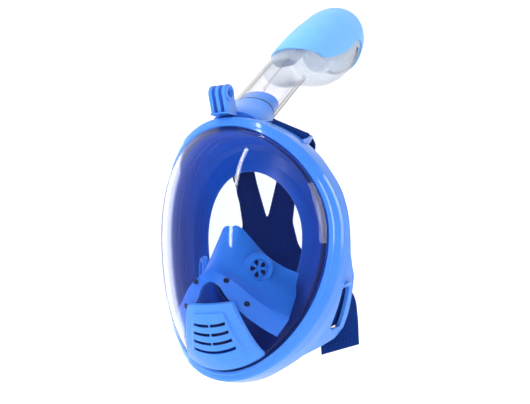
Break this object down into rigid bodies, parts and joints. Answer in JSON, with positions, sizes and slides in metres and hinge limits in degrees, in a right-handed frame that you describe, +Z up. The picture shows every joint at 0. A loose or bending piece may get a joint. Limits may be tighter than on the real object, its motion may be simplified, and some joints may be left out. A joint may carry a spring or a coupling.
{
  "type": "full face snorkel",
  "caption": "Full face snorkel mask: domed clear lens in a moulded frame with silicone face skirt, nose pocket, chin purge cover, dry-top snorkel, camera mount and strap harness.",
  "frame": {"origin": "middle of the face seal plane, on the mask's centre plane, level with the row's eye line", "axes": "+X to the wearer's left, +Y back towards the wearer's head, +Z up"},
  "size_m": [0.1816, 0.2917, 0.3692],
  "materials": {
    "blue_gloss": "glossy moulded light blue",
    "clear_lens": "polished clear polycarbonate",
    "clear_tube": "clear moulded plastic",
    "skirt_silicone": "satin royal blue liquid silicone",
    "pocket_silicone": "satin light blue silicone",
    "clear_silicone": "translucent soft silicone",
    "black_rubber": "matt black rubber",
    "dark_plastic": "satin dark blue moulding",
    "grey_float": "hollow light grey float",
    "pin_steel": "brushed stainless",
    "webbing": "woven navy elastic webbing"
  },
  "bodies": {
    "mask": {"front_bezel": "blue_gloss", "rear_frame": "blue_gloss", "strap_pins": "pin_steel", "viewing_lens": "clear_lens", "face_skirt": "skirt_silicone", "inner_mask": "pocket_silicone", "inner_mask_pegs": "dark_plastic", "exhaust_cover": "blue_gloss", "purge_valve_seat": "dark_plastic", "camera_mount": "blue_gloss", "snorkel_socket": "blue_gloss", "exhale_valve_plate": "dark_plastic", "inhale_valve_seat_left": "dark_plastic", "inhale_valve_seat_right": "dark_plastic", "harness_back_pad": "webbing", "lower_strap_left": "webbing", "lower_strap_right": "webbing", "upper_strap_left": "webbing", "upper_strap_right": "webbing"},
    "snorkel": {"snorkel_plug": "blue_gloss", "snorkel_seal_ring": "black_rubber", "snorkel_tube": "clear_tube", "float_housing": "clear_tube", "snorkel_cap": "blue_gloss", "float_valve_seat": "dark_plastic"},
    "float_assembly": {"float": "grey_float", "float_seal": "black_rubber"},
    "purge_disc": {"purge_diaphragm": "clear_silicone"},
    "inhale_disc_left": {"inhale_diaphragm_left": "clear_silicone"},
    "inhale_disc_right": {"inhale_diaphragm_right": "clear_silicone"},
    "exhale_flap_body_left": {"exhale_flap_left": "clear_silicone"},
    "exhale_flap_body_right": {"exhale_flap_right": "clear_silicone"}
  },
  "joints": [
    {"name": "snorkel_pull_off", "type": "slide", "parent": "mask", "child": "snorkel", "axis": [0, 0.8141, 0.5807], "range_m": [0, 0.035]},
    {"name": "float_rise", "type": "slide", "parent": "snorkel", "child": "float_assembly", "axis": [0, 0.8141, 0.5807], "range_m": [0, 0.009]},
    {"name": "purge_lift", "type": "slide", "parent": "mask", "child": "purge_disc", "axis": [0, -0.9613, -0.2756], "range_m": [0, 0.0008], "stiffness_N_per_m": 30},
    {"name": "inhale_lift_left", "type": "slide", "parent": "mask", "child": "inhale_disc_left", "axis": [-0.7507, 0.6606, 0], "range_m": [0, 0.0012], "stiffness_N_per_m": 30},
    {"name": "inhale_lift_right", "type": "slide", "parent": "mask", "child": "inhale_disc_right", "axis": [0.7507, 0.6606, 0], "range_m": [0, 0.0012], "stiffness_N_per_m": 30},
    {"name": "exhale_flap_lift_left", "type": "hinge", "parent": "mask", "child": "exhale_flap_body_left", "pos_m": [0.0126, -0.03283, 0.11494], "axis": [1, 0, 0], "range_deg": [0, 15], "stiffness_Nm_per_rad": 0.0005},
    {"name": "exhale_flap_lift_right", "type": "hinge", "parent": "mask", "child": "exhale_flap_body_right", "pos_m": [-0.0126, -0.03283, 0.11494], "axis": [1, 0, 0], "range_deg": [0, 15], "stiffness_Nm_per_rad": 0.0005}
  ]
}
